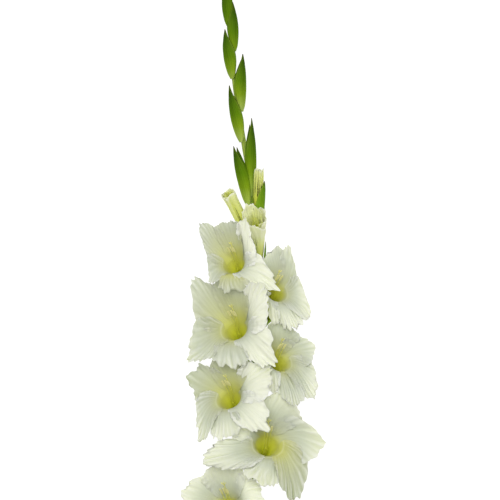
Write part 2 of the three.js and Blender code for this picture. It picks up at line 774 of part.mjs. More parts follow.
FLORETS.forEach((spec, index) => {
  const name = `floret_${index + 1}`;
  add(`${name}_tepals`, perianth(spec), "petal");
  add(`${name}_stamens`, stamens(spec), "stamen");
  add(`${name}_bracts`, mainBody(floretBracts(spec).subtract(stemRoom)), "bract");
});

OPENING.forEach((bud, index) => {
  const name = `bud_${index + 1}`;
  add(`${name}_petals`, furled(bud), "opening");
  add(`${name}_bracts`, mainBody(budBracts(bud).subtract(stemRoom)), "bract");
});

GREEN.forEach((bud, index) => {
  const below = GREEN.slice(Math.max(0, index - 2), index).map((other) => greenBud(other, GAP));
  const free = below.reduce((made, other) => made.subtract(other), greenBud(bud).subtract(stemRoom));
  add(`green_bud_${index + 1}`, mainBody(free), "bud");
});

const box = new THREE.Box3().setFromObject(flower);
const middle = box.getCenter(vec(0, 0, 0));
flower.position.set(-middle.x, -middle.y, -box.min.z);

export default flower;
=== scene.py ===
# A cut white gladiolus lying on its back, seen from straight above.
#
# The forms are those of the solids that each piece stands for, in the same millimetres, drawn again as fine
# surfaces: the florets with pleated and frilled tepals that join into one funnel, the buds with furled petals
# and overlapping bracts, the stem and the sheathing leaves. +X is right, +Y towards the tip, +Z up.
import math

import bmesh
import bpy
import numpy as np
from mathutils import Matrix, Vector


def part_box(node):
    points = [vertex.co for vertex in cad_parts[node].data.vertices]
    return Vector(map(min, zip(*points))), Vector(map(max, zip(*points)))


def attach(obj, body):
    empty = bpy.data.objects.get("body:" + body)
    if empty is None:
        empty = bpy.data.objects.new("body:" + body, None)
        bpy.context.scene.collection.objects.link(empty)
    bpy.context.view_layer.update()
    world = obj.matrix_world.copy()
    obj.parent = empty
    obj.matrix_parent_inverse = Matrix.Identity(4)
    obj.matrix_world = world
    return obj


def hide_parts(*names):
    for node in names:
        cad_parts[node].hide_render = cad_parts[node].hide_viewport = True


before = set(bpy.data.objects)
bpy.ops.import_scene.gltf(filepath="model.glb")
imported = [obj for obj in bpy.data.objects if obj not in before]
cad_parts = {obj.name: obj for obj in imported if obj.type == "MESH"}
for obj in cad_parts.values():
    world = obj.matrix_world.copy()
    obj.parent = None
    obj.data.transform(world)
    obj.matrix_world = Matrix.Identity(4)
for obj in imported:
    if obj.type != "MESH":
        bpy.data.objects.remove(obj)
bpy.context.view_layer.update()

MM = 0.001
TAU = 2 * math.pi

# ---- driving dimensions, in millimetres

# The stem: distance from the cut end, sideways place, height of its centre, and radius.
STEM = [
    [0, -36, 7.6, 5.7],
    [160, -22, 7.5, 5.5],
    [340, -6, 8.1, 5.1],
    [480, 4, 8.8, 4.6],
    [580, 7, 9.0, 4.0],
    [680, 3, 8.0, 2.9],
    [735, -6, 6.8, 2.7],
    [800, -16, 5, 2.3],
    [860, -21.2, 3.2, 1.8],
    [900, -23.5, 1.386, 1.5],
]

# Sheathing leaves: where the midrib of each lies, as [distance from the cut end, sideways off the stem], and
# half its width.
LEAVES = [
    {"midrib": [[14, 0], [66, -1], [104, -10], [148, -24], [300, -52]], "width": 13},
    {"midrib": [[148, 0], [200, 0], [245, 7], [300, 22], [372, 44]], "width": 12.5},
]
LEAF_THICKNESS = 0.9
LEAF_CLEAR = 2.65  # from the stem's surface to the middle of a leaf that clasps it
LEAF_OPENS = (36, 84)  # from its foot, where a leaf begins and ends to unroll
LEAF_FLAT_RADIUS = 160

TUBE = 56  # ovary top to mouth, along the floret's curved tube
OVARY = 11
REACH_BACK = TUBE + OVARY
MOUTH_RADIUS = 16
TUBE_RADIUS = 2.7
THROAT_FROM = -34  # where the tube begins to widen into the throat, behind the mouth
ROOT_DEPTH = 12  # where the tepals part from the common throat, behind the mouth
NODE_BELOW = 40  # how far below its mouth a floret leaves the stem
FOOT = (1.6, 0.6)  # a floret's foot: out from the stem's side, and up
FOOT_WAY = (0.42, 0.8, 0.42)  # the way it leaves: out, along the stem and up
FOOT_LEAD = 22
MOUTH_LEAD = 22
STRAIGHT_FROM = (13, 18)  # off the axis, where the bent tube gives way to the straight mouth

WAVE = 3.6  # height of the broad waves in a tepal's edges
WAVES = 1.5
LAYER = 0.5  # how far each whorl of tepals lies off the wall that both spring from

# The six tepals in order round the mouth: place in degrees, whorl, half width, how far its edges come up,
# the height of the rim it bends over, how closely it keeps to that rim from its root and from its tip, how
# blunt it is, how wavy its edges are, how strongly it is pleated, how far it pales from the throat's colour
# (kept low on the tepals of the funnel's walls as painted shade), how white its edges are (partly painted
# light through the thin margins) and how strong the painted highlight on the crest round the throat is. A
# floret's changes may also say how deep the painted shade in its fold hollows is (crease_shade) and how torn
# its end is (ragged).
TRAITS = "turn whorl width cup rim near far blunt loose pleat tint white crest".split()
TEPALS = {
    "inner_upper": (30, 1, 26, 1.5, 3, 0.9, 0.65, 2.6, 0.8, 1.5, 1.3, 1.0, 0.0),
    "dorsal": (90, -1, 27, 0, -2, 0.6, 0.4, 2.6, 0.3, 0.32, 0.5, 0.8, 0.0),
    "outer_upper": (150, 1, 28, 0, -2, 0.6, 0.4, 1.8, 0.45, 0.9, 0.55, 0.86, 0.0),
    "outer_lower": (210, -1, 24, 0, 1.5, 0.85, 0.6, 2, 0.7, 1.1, 0.75, 0.86, 0.35),
    "lip": (270, 1, 21, -1, 2.5, 0.9, 0.7, 3, 0.7, 1.2, 0.75, 0.92, 0.9),
    "inner_lower": (330, -1, 24, -1, 2.5, 0.9, 0.7, 2.4, 0.8, 1.6, 1.2, 1.0, 0.5),
}
CLOSES_FROM = 0.68  # share of a tepal's length from which it narrows to its tip
WIDEST = 0.85  # most of the way to the next midrib that a tepal reaches
PALES = 2.1  # how slowly the throat's colour fades along a tepal
JAGS = (0.05, 0.03)  # coarse and fine teeth of a tepal's edges, as shares of its width
TEARS = (0.045, 0.026)  # coarse and fine teeth of its end, as shares of its length
RUFFLE, FRILL = 1.7, 1.1  # heights of the edges' broad and narrow waves
FOLDS = (1.4, 0.9, 0.45)  # heights of the broad, middle and fine folds that run along it
RIDGES = (1.1, 0.7)  # and of its broad and narrow sharp ridges
MIDDLE_FOLDS = (0.4, 0.35)  # how much of the broad and middle folds is left in mid-blade
MIDDLE_RIDGES, MIDDLE_FOLD_SHADE = 0.14, 0.18  # and of the ridges and of the painted shade between them
CREST = (0.23, 0.024)  # place and width of the painted highlight on the crest round the throat, along the blade
MOST_CREASE_SHADE = 2.1  # a strongly pleated tepal gets paler painted shade in its hollows: this less its pleat
ROUND = 1.2376  # lets six midribs evenly round the mouth blend into a circle

# The open florets from the lowest up. side is the side of the stem that each grows from, mouth the centre of
# its throat, yaw and pitch the way it faces, tips each tepal's end from the mouth, in the order above.
FLORETS = [
    dict(
        side=-1, mouth=(-25, 375, 53), yaw=-22, pitch=30, size=1.05,
        tips=[(36, 16, -2), (0, 44, -6), (-42, 14, -10), (-40, -36, 6), (0, -48, 14), (40, -34, 10)],
        changes=dict(dorsal=dict(tint=1.1), outer_upper=dict(tint=1.0)),
    ),
    dict(
        side=1, mouth=(18, 438, 56), yaw=8, pitch=28, size=1.05,
        tips=[(-30, 18, -8), (12, 48, -2), (57, -2, -6), (29, -60, 4), (-8, -43, 12), (-66, -20, 10)],
        changes=dict(
            dorsal=dict(tint=0.95), outer_upper=dict(blunt=1.15, tint=0.95),
            outer_lower=dict(width=22, blunt=1.9, tint=0.5, pleat=1.5, crease_shade=1.3),
            lip=dict(width=22, tint=0.95),
            inner_lower=dict(blunt=2.6, tint=0.95), inner_upper=dict(width=17),
        ),
    ),
    dict(
        side=-1, mouth=(-23, 484, 55), yaw=-30, pitch=30, size=0.96,
        tips=[(45, 25, 12), (3, 42, -4), (-38, 21, -18), (-28, -44, 4), (-4, -44, 12), (41, -34, 15)],
        changes=dict(
            outer_upper=dict(blunt=2.1, width=22, ragged=2.6), outer_lower=dict(tint=0.85),
            lip=dict(tint=0.95), inner_upper=dict(width=27), inner_lower=dict(width=23),
        ),
    ),
    dict(
        side=1, mouth=(31, 521, 52), yaw=28, pitch=30, size=0.92,
        tips=[(-18, 12, -10), (-6, 36, -7), (34, 13, -14), (35, -38, 2), (13, -48, 7), (-14, -33, 0)],
        changes=dict(
            dorsal=dict(tint=0.7), outer_upper=dict(width=23, blunt=1.1, tint=0.8),
            outer_lower=dict(width=25, tint=0.9), inner_lower=dict(width=18), inner_upper=dict(width=14),
        ),
    ),
    dict(
        side=-1, mouth=(-17, 553, 55), yaw=-29, pitch=30, size=1,
        tips=[(31, 41, 21), (-2, 44, -4), (-42, 46, -25), (-45, -34, 2), (-2, -42, 12), (42, -38, 15)],
        changes=dict(
            outer_upper=dict(blunt=1.25, width=25),
            inner_upper=dict(width=27), inner_lower=dict(width=25),
        ),
    ),
    dict(
        side=1, mouth=(28, 590, 50), yaw=33, pitch=30, size=0.88,
        tips=[(-15, 14, -10), (-13, 32, -6), (12, 43, -12), (33, -26, -4), (14, -41, 5), (-6, -35, 2)],
        changes=dict(
            dorsal=dict(tint=0.75), outer_upper=dict(width=18, blunt=1.1, tint=0.85),
            outer_lower=dict(width=27, blunt=2.4, tint=1.0), lip=dict(tint=1.05),
            inner_lower=dict(width=17), inner_upper=dict(width=13),
        ),
    ),
    dict(
        side=-1, mouth=(-18, 618, 53), yaw=-28, pitch=32, size=0.88,
        tips=[(13, 40, 16), (-1, 39, -8), (-33, 36, -20), (-23, -20, -6), (-5, -31, 10), (45, -28, 10.5)],
        changes=dict(
            dorsal=dict(width=23), outer_upper=dict(width=23, blunt=1.35), outer_lower=dict(width=20),
            lip=dict(tint=0.34), inner_lower=dict(width=22, blunt=3.4), inner_upper=dict(blunt=1.3),
        ),
    ),
]

# The opening buds from the lowest up: the line each grows along, its radius at places along it, how deep its
# rim is scalloped and it is open, the place of its first petal, how frilled the petals are and how far their
# ends spread, how much longer its far side is, how low the inner petals end, how pale the petals are at their
# ends and at their roots, and how much painted shade each takes where it runs in under the next.
OPENING = [
    dict(
        path=[(10.4, 608, 12.6), (9, 636, 21), (4.5, 661, 44)],
        radii=[[8.8, 2.2], [26, 5], [40, 7.6], [52, 9.6], [60, 10.8]],
        scallop=14, open=12, turn=-2.1, frill=1.1, spread=2.0, lean=5, sink=20,
        pale=1.3, dark=0.4, tuck_shade=0.2,
        bract=dict(turn=180, wrap=70, length=34, stand=3.8, flare=2.2),
    ),
    dict(
        path=[(1.4, 634, 12.1), (-8, 657, 17.5), (-22, 685, 29)],
        radii=[[8.8, 2.2], [26, 4.9], [40, 6.2], [56, 6], [64, 6.8]],
        scallop=3.4, open=10, turn=1.2, frill=1.3, spread=0.6, lean=1, sink=4,
        pale=0.78, dark=-0.4, tuck_shade=0.4,
        bract=dict(turn=190, wrap=80, length=34, stand=3.6, flare=3),
    ),
    dict(
        path=[(7, 657, 13), (8.6, 682, 17), (9.2, 709, 18)],
        radii=[[9, 2.2], [22, 4.4], [34, 4.8], [46, 4.8], [50, 4.6]],
        scallop=3.4, open=5, turn=0.2, frill=0.4, spread=0, lean=0, sink=4,
        pale=0.8, dark=-0.4, tuck_shade=0.2,
        bract=dict(turn=28, wrap=96, length=37, stand=3.9, flare=0.2),
    ),
]

INNER_SHORT = 6.5  # how much shorter the inner bract of a closed bud is than the outer one

# The closed green buds from the lowest up: base, middle and tip, half width and depth.
GREEN = [
    ((-1.6, 672, 14.2), (-8, 704, 16), (-16.4, 733, 14), 5.8, 4.5),
    ((1.4, 682, 11.6), (1, 722, 13), (1.5, 761.5, 11.5), 5.2, 4.2),
    ((-9, 737, 11.4), (-14, 764, 13.4), (-20.8, 794.5, 11), 5.8, 4.2),
    ((-8.4, 768, 9.6), (-9.6, 797, 11), (-7.4, 826.4, 9.6), 5.6, 4.1),
    ((-18, 801, 8.6), (-21, 826, 10.4), (-25.2, 851.3, 8.6), 5.8, 3.8),
    ((-15.6, 829, 7), (-17.2, 854, 7.8), (-17.6, 878.7, 6.6), 5.2, 3.5),
    ((-22.4, 855, 5.8), (-23.4, 878, 7), (-24, 901, 5.6), 4.8, 3.2),
    ((-20.6, 881, 4.4), (-20.2, 902, 5), (-22.6, 924, 3.6), 4.2, 2.8),
]

# What the camera sees: a square of this side, about this point of the design.
VIEW = dict(x=0, y=628.4, side=500, height=4000)

# ---- small helpers


def mix(a, b, t):
    return a + (b - a) * t


def ease(x, low, high):
    t = np.clip((np.asarray(x, float) - low) / (high - low), 0, 1)
    return t * t * (3 - 2 * t)


def unit(v):
    v = np.asarray(v, float)
    return v / np.maximum(np.linalg.norm(v, axis=-1, keepdims=True), 1e-12)


def hermite(a, leave, b, arrive, t):
    """From a to b as t runs from 0 to 1, at the slope leave first and the slope arrive last."""
    return (
        a * (2 * t**3 - 3 * t**2 + 1)
        + leave * (t**3 - 2 * t**2 + t)
        + b * (3 * t**2 - 2 * t**3)
        + arrive * (t**3 - t**2)
    )


def along(rows, place):
    """A smooth curve through rows of [place, value, value, ...], read at an array of places."""
    rows = np.asarray(rows, float)
    x, y = rows[:, 0], rows[:, 1:]
    last = len(rows) - 1
    place = np.asarray(place, float)
    k = np.clip(np.searchsorted(x, place, side="right") - 1, 0, last - 1)
    span = (x[k + 1] - x[k])[..., None]
    t = np.clip((place - x[k])[..., None] / span, 0, 1)

    def slope(n):
        a, b = np.maximum(n - 1, 0), np.minimum(n + 1, last)
        return (y[b] - y[a]) / (x[b] - x[a])[..., None]

    return hermite(y[k], slope(k) * span, y[k + 1], slope(k + 1) * span, t)


def bezier(points, t):
    """Points and unit tangents of a cubic Bezier curve."""
    p0, p1, p2, p3 = (np.asarray(p, float) for p in points)
    t = np.asarray(t, float)[..., None]
    u = 1 - t
    point = u**3 * p0 + 3 * u**2 * t * p1 + 3 * u * t**2 * p2 + t**3 * p3
    return point, unit(3 * u**2 * (p1 - p0) + 6 * u * t * (p2 - p1) + 3 * t**2 * (p3 - p2))


def through(points):
    """A smooth curve through a few points, as a function from 0 to 1: a centripetal Catmull-Rom spline."""
    p = np.asarray(points, float)
    p = np.vstack([2 * p[0] - p[1], p, 2 * p[-1] - p[-2]])
    count = len(p) - 3

    def at(t):
        t = np.clip(np.asarray(t, float), 0, 1) * count
        i = np.minimum(t.astype(int), count - 1)
        w = (t - i)[..., None]
        a, b, c, d = p[i], p[i + 1], p[i + 2], p[i + 3]

        def gap(u, v):
            return np.maximum(np.sum((u - v) ** 2, axis=-1, keepdims=True) ** 0.25, 1e-4)

        d0, d1, d2 = gap(a, b), gap(b, c), gap(c, d)
        m1 = ((b - a) / d0 - (c - a) / (d0 + d1) + (c - b) / d1) * d1
        m2 = ((c - b) / d1 - (d - b) / (d1 + d2) + (d - c) / d2) * d1
        return b + m1 * w + (-3 * b + 3 * c - 2 * m1 - m2) * w**2 + (2 * b - 2 * c + m1 + m2) * w**3

    return at


def around(sides):
    """The angles of so many points round a circle."""
    return np.arange(sides) / sides * TAU


def tangent_of(curve, t):
    step = 1e-3
    return unit(curve(np.clip(t + step, 0, 1)) - curve(np.clip(t - step, 0, 1)))


def ripple(rng, low, high, count=3):
    """A smooth irregular wave of one number, between about -1 and 1, from a few sines of seeded phase."""
    rates = rng.uniform(low, high, count)
    phases = rng.uniform(0, TAU, count)
    weights = rng.uniform(0.6, 1, count)
    weights /= weights.sum()
    return lambda x: sum(w * np.sin(TAU * r * x + p) for r, p, w in zip(rates, phases, weights))


# The frame's own place for the design: the cut end of the stem lies at y 0 there.
stem_low, stem_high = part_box("stem")
STEM_FACET = math.cos(math.pi / 8)  # the solid stem is an octagon whose flats are level
SHIFT = np.array([
    stem_low.x / MM - (STEM[0][1] - STEM[0][3] * STEM_FACET),
    stem_low.y / MM,
    0,
])


def face_outward(data, join=0.0):
    """Turns a mesh's faces outward, once points closer than join, in metres, are made one."""
    mesh = bmesh.new()
    mesh.from_mesh(data)
    if join:
        bmesh.ops.remove_doubles(mesh, verts=mesh.verts, dist=join)
    bmesh.ops.recalc_face_normals(mesh, faces=mesh.faces)
    mesh.to_mesh(data)
    mesh.free()


def put(name, data):
    """A new object in the scene."""
    thing = bpy.data.objects.new(name, data)
    bpy.context.scene.collection.objects.link(thing)
    return thing


class Form:
    """Points in the design's millimetres, faces and per-point layers of one piece, from several surfaces."""

    def __init__(self):
        self.points, self.faces, self.layers, self.count = [], [], {}, 0

    def add(self, points, faces, **layers):
        points = np.asarray(points, float).reshape(-1, 3)
        self.faces += [tuple(i + self.count for i in face) for face in faces]
        self.points.append(points)
        for name, values in layers.items():
            values = np.asarray(values, float).reshape(-1)
            if 2 * len(values) == len(points):  # said once for both sides of a sheet
                values = np.tile(values, 2)
            self.layers.setdefault(name, []).append(np.broadcast_to(values, (len(points),)))
        self.count += len(points)

    def make(self, name, node, material):
        data = bpy.data.meshes.new(name)
        data.from_pydata(((np.vstack(self.points) + SHIFT) * MM).tolist(), [], self.faces)
        for layer, values in self.layers.items():
            attribute = data.attributes.new(layer, "FLOAT", "POINT")
            attribute.data.foreach_set("value", np.concatenate(values).astype(np.float32))
        data.polygons.foreach_set("use_smooth", [True] * len(data.polygons))
        data.materials.append(material)
        data.update()
        data.validate()
        face_outward(data)
        piece = put(name, data)
        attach(piece, "root")
        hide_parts(node)
        return piece


def border(rows, columns, first):
    """Points down one edge of a grid from its row first, back along its last row and up the other edge."""
    width = columns + 1
    line = [i * width + columns for i in range(first, rows + 1)]
    line += [rows * width + j for j in range(columns - 1, -1, -1)]
    return line + [i * width for i in range(rows - 1, first - 1, -1)]


def sheet_faces(rows, columns, rims):
    """Faces of a sheet's two sides, each (rows + 1) x (columns + 1) points, and along the rims between."""
    width = columns + 1
    count = (rows + 1) * width
    corners = [i * width + j for i in range(rows) for j in range(columns)]
    faces = [(a, a + 1, a + width + 1, a + width) for a in corners]
    faces += [tuple(a + count for a in quad[::-1]) for quad in faces]
    for rim in rims:
        faces += [(b, a, a + count, b + count) for a, b in zip(rim, rim[1:])]
    return faces


def sheet_points(surface, s, t, low, thickness):
    """Points of both sides of a sheet about surface(s, t), where s runs from low to 1."""
    step = 1e-3
    down = surface(np.minimum(s + step, 1), t) - surface(np.maximum(s - step, low), t)
    over = surface(s, t + step) - surface(s, t - step)
    lift = unit(np.cross(over, down)) * thickness[..., None] / 2
    middle = surface(s, t)
    return np.vstack([(middle + lift).reshape(-1, 3), (middle - lift).reshape(-1, 3)])


def sheet_grid(rows, columns):
    """The places s, 0 to 1, and t, -1 to 1, of a sheet's points."""
    return np.meshgrid(np.linspace(0, 1, rows + 1), np.linspace(-1, 1, columns + 1), indexing="ij")


def closed_sheet(surface, s, t, thickness):
    """Points and faces of a thin sheet about surface(s, t)."""
    rows, columns = len(s) - 1, len(s[0]) - 1
    rim = list(range(columns)) + border(rows, columns, 0)
    return sheet_points(surface, s, t, 0, thickness), sheet_faces(rows, columns, [rim])


def ring_faces(rings, sides, cap=True):
    """Quads between rings, with one face as the cap of each end."""
    faces = []
    for i in range(rings - 1):
        for j in range(sides):
            a, b = i * sides + j, i * sides + (j + 1) % sides
            faces.append((a, b, b + sides, a + sides))
    if cap:
        faces.append(tuple(range(sides))[::-1])
        faces.append(tuple((rings - 1) * sides + j for j in range(sides)))
    return faces


# ---- materials


def new_material(name):
    material = bpy.data.materials.new(name)
    material.use_nodes = True
    tree = material.node_tree
    return material, Nodes(tree), tree.nodes["Principled BSDF"]


class Nodes:
    """Short ways to add shader nodes to one material."""

    def __init__(self, tree):
        self.tree = tree

    def link(self, value, socket):
        if isinstance(value, bpy.types.NodeSocket):
            self.tree.links.new(value, socket)
        elif value is not None:
            socket.default_value = value

    def layer(self, name):
        node = self.tree.nodes.new("ShaderNodeAttribute")
        node.attribute_name = name
        return node.outputs["Fac"]

    def math(self, operation, a, b=None, c=None):
        node = self.tree.nodes.new("ShaderNodeMath")
        node.operation = operation
        for value, socket in zip((a, b, c), node.inputs):
            self.link(value, socket)
        return node.outputs[0]

    def times(self, a, b, plus=None):
        return self.math("MULTIPLY" if plus is None else "MULTIPLY_ADD", a, b, plus)

    def ramp(self, value, stops):
        node = self.tree.nodes.new("ShaderNodeValToRGB")
        elements = node.color_ramp.elements
        while len(elements) < len(stops):
            elements.new(0.5)
        for element, (place, colour) in zip(elements, stops):
            element.position = place
            element.color = (*colour, 1)
        self.link(value, node.inputs[0])
        return node.outputs[0]

    def blend(self, factor, a, b, kind="MIX"):
        node = self.tree.nodes.new("ShaderNodeMix")
        node.data_type = "RGBA"
        node.blend_type = kind
        self.link(factor, node.inputs[0])
        for value, socket in ((a, node.inputs[6]), (b, node.inputs[7])):
            self.link((*value, 1) if isinstance(value, tuple) else value, socket)
        return node.outputs[2]

    def noise(self, scale, detail):
        node = self.tree.nodes.new("ShaderNodeTexNoise")
        node.inputs["Scale"].default_value = scale
        node.inputs["Detail"].default_value = detail
        self.link(self.tree.nodes.new("ShaderNodeTexCoord").outputs["Object"], node.inputs["Vector"])
        return node.outputs["Fac"]

    def bump(self, height, distance, strength):
        node = self.tree.nodes.new("ShaderNodeBump")
        node.inputs["Distance"].default_value = distance
        node.inputs["Strength"].default_value = strength
        self.link(height, node.inputs["Height"])
        return node.outputs[0]


def finish_shader(shader, **values):
    """Sets what is the same all over. An underscore in a name stands for a space."""
    for name, value in values.items():
        shader.inputs[name.replace("_", " ")].default_value = value


def srgb(r, g, b):
    """A colour as read off a screen, 0 to 255, as the linear colour that shaders take."""
    return tuple(((c / 255 + 0.055) / 1.055) ** 2.4 if c > 10 else c / 255 / 12.92 for c in (r, g, b))


LIT = srgb(250, 251, 244)  # the white that a petal's ridges and edges catch
MARGIN = srgb(164, 184, 66)  # what green tissue pales towards at its margins

# How dark green tissue is along its keel, from the keel outwards.
KEEL = [(0.0, (0.6, 0.64, 0.6)), (0.16, (0.72, 0.76, 0.72)), (0.38, (1, 1, 1)), (1.0, (1.1, 1.08, 1))]


def petal_material(name, stops, weight):
    """Petal tissue: colour by depth along the tepal, fine veins, satin cells, light passing through."""
    material, n, shader = new_material(name)
    depth, across = n.layer("depth"), n.layer("across")
    colour = n.ramp(n.times(depth, 0.5, 0.5), stops)
    wander = n.times(n.math("SUBTRACT", n.noise(160, 2), 0.5), 0.9)
    veins = n.math("SINE", n.math("ADD", n.times(across, 62.0), wander))
    fine = n.math("SINE", n.math("ADD", n.times(across, 150.0), n.times(wander, 3.0)))
    lines = n.math("ADD", n.times(veins, 0.6), n.times(fine, 0.4))
    shade = n.times(lines, 0.018, 0.982)
    mottle = n.times(n.noise(55, 3), 0.05, 0.975)
    tone = n.times(shade, mottle)
    combine = n.tree.nodes.new("ShaderNodeCombineColor")
    for socket in combine.inputs[:3]:
        n.link(tone, socket)
    colour = n.blend(1.0, colour, combine.outputs[0], "MULTIPLY")
    # Painted shade: the colour is darkened towards a grey-green in the folds' hollows.
    hollow = n.layer("hollow")
    deep = n.blend(1.0, colour, srgb(222, 226, 196), "MULTIPLY")
    colour = n.blend(n.times(n.math("MAXIMUM", hollow, 0.0), 0.85), colour, deep)
    # Painted highlight: the ridges and the crest round the throat are lightened towards LIT.
    ridge = n.math("MAXIMUM", n.times(hollow, -1.0), 0.0)
    colour = n.blend(n.times(ridge, 0.4), colour, LIT)
    # Edges and ends lightened towards LIT: partly the thin margins' own paler colour, partly painted light
    # through them.
    rim = n.math("POWER", n.layer("edge"), 8.0)
    colour = n.blend(n.times(rim, 0.55), colour, LIT)
    n.link(colour, shader.inputs["Base Color"])
    cells = n.times(n.noise(2600, 1), 0.35)
    n.link(n.bump(n.math("ADD", lines, cells), 0.00012, 0.6), shader.inputs["Normal"])
    finish_shader(
        shader, Roughness=0.52, IOR=1.4, Specular_IOR_Level=0.35, Sheen_Weight=0.08, Sheen_Roughness=0.4,
        Subsurface_Weight=weight, Subsurface_Radius=(1.0, 1.0, 0.8), Subsurface_Scale=0.0012,
    )
    return material


def green_material(name, stops, tip, keeled=0.0):
    """Green tissue: colour along the piece, paler towards its margins, parallel veins, a dry brown tip."""
    material, n, shader = new_material(name)
    depth, across = n.layer("depth"), n.layer("across")
    colour = n.ramp(depth, stops)
    pale = n.ramp(depth, [(place, tuple(mix(a, b, 0.6) for a, b in zip(c, MARGIN))) for place, c in stops])
    aside = n.math("ABSOLUTE", across)
    keel = n.ramp(aside, KEEL)
    colour = n.blend(keeled, colour, n.blend(1.0, colour, keel, "MULTIPLY"))
    broad = n.times(n.math("POWER", aside, 3.0), 0.36)
    margin = n.times(n.math("POWER", aside, 9.0), 0.55, broad)
    colour = n.blend(margin, colour, pale)
    wander = n.times(n.noise(90, 2), 5.0)
    streak = n.math("SINE", n.math("ADD", n.times(across, 34.0), wander))
    colour = n.blend(n.times(streak, 0.05, 0.05), colour, pale)
    colour = n.blend(n.times(n.noise(70, 4), 0.06), colour, pale)
    if tip:
        dry_from, brown = tip
        dry = n.times(n.math("SUBTRACT", depth, dry_from), 1 / (1 - dry_from))
        dry = n.math("MAXIMUM", n.math("SMOOTH_MIN", dry, 1.0, 0.1), 0.0)
        colour = n.blend(dry, colour, brown)
    n.link(colour, shader.inputs["Base Color"])
    n.link(n.bump(streak, 0.00015, 0.5), shader.inputs["Normal"])
    finish_shader(
        shader, Roughness=0.58, IOR=1.42, Specular_IOR_Level=0.04,
        Subsurface_Weight=0.06, Subsurface_Radius=(0.7, 1.0, 0.3), Subsurface_Scale=0.002,
    )
    return material


# The throat's own olive-yellow fades to cream-white; the grey-green stops between are partly painted shade.
PETAL = petal_material("petal", [
    (0.0, srgb(172, 182, 0)), (0.22, srgb(218, 226, 26)), (0.40, srgb(224, 227, 80)),
    (0.49, srgb(206, 208, 98)), (0.53, srgb(196, 198, 122)), (0.58, srgb(190, 194, 148)),
    (0.66, srgb(188, 193, 166)), (0.76, srgb(197, 203, 183)), (0.88, srgb(222, 226, 204)),
    (1.0, srgb(236, 239, 217)),
], 0.3)
OPENING_PETAL = petal_material("opening_petal", [
    (0.0, srgb(160, 170, 0)), (0.30, srgb(194, 202, 48)), (0.50, srgb(208, 215, 84)),
    (0.75, srgb(222, 228, 124)), (0.9, srgb(232, 237, 168)), (1.0, srgb(242, 245, 196)),
], 0.2)
STAMEN = petal_material("stamen", [
    (0.0, srgb(200, 204, 40)), (0.5, srgb(228, 228, 110)), (1.0, srgb(244, 240, 170)),
], 0.0)
BRACT = green_material("bract", [
    (0.0, srgb(150, 170, 66)), (0.3, srgb(112, 148, 22)), (0.8, srgb(88, 130, 10)), (1.0, srgb(112, 140, 24)),
], (0.93, srgb(120, 104, 50)))
BUD = green_material("bud", [
    (0.0, srgb(184, 202, 108)), (0.12, srgb(166, 188, 78)), (0.3, srgb(128, 158, 24)),
    (0.52, srgb(86, 124, 0)), (0.84, srgb(48, 86, 0)), (1.0, srgb(72, 84, 4)),
], (0.95, srgb(70, 58, 30)), keeled=0.85)
LEAF = green_material("leaf", [
    (0.0, srgb(150, 170, 72)), (0.2, srgb(98, 140, 26)), (0.6, srgb(74, 120, 14)), (1.0, srgb(86, 126, 22)),
], (0.97, srgb(140, 124, 56)))
STALK = green_material("stalk", [
    (0.0, srgb(126, 152, 40)), (0.5, srgb(138, 162, 50)), (1.0, srgb(152, 172, 84)),
], None)

# ---- the stem


def stem_at(place):
    x, z, radius = np.moveaxis(along(STEM, place), -1, 0)
    return np.stack([x, np.broadcast_to(place, x.shape), z], -1), radius


def make_stem():
    sides, rings = 32, 300
    rng = np.random.default_rng(3)
    place = np.linspace(0, STEM[-1][0], rings)
    centre, radius = stem_at(place)
    turn = around(sides)
    ridge = 1 + 0.012 * np.cos(5 * turn[None, :] + 0.012 * place[:, None]) * ease(place, 0, 60)[:, None]
    nodes = np.array([f["mouth"][1] - NODE_BELOW for f in FLORETS] + [14, 148])
    swell = 1 + 0.05 * np.exp(-(((place[:, None] - nodes[None, :]) / 6) ** 2)).sum(1)
    drift = ripple(rng, 0.01, 0.03)
    r = (radius * 0.965 * swell * (1 + 0.01 * drift(place)))[:, None] * ridge
    flat = np.stack([np.cos(turn), 0 * turn, np.sin(turn)], -1)
    points = centre[:, None, :] + flat[None] * r[..., None]
    points[..., 2] = np.maximum(points[..., 2], 0.02)
    form = Form()
    depth = np.repeat(place / place[-1], sides)
    across = np.tile(np.sin(turn * 2.5), rings)
    form.add(points, ring_faces(rings, sides, cap=False), depth=depth, across=across)
    for end, facing in ((0, 1), (rings - 1, -1)):
        # The cut face: a ring of rind, a ring of paler tissue and a shallow hollow at the pith.
        scale = np.array([1, 0.93, 0.8, 0.5, 0.2])
        sunk = np.array([0, 0, 0.25, 0.35, 0.5]) * facing * (1 if end == 0 else 0.2)
        disc = centre[end] + (points[end] - centre[end])[None] * scale[:, None, None]
        disc[..., 1] += sunk[:, None]
        faces = ring_faces(len(scale), sides, cap=False)
        faces.append(tuple((len(scale) - 1) * sides + j for j in range(sides)))
        form.add(disc, [face[::facing] for face in faces], depth=1.0, across=0.0)
    return form.make("rachis", "stem", STALK)


# ---- a floret's own frame


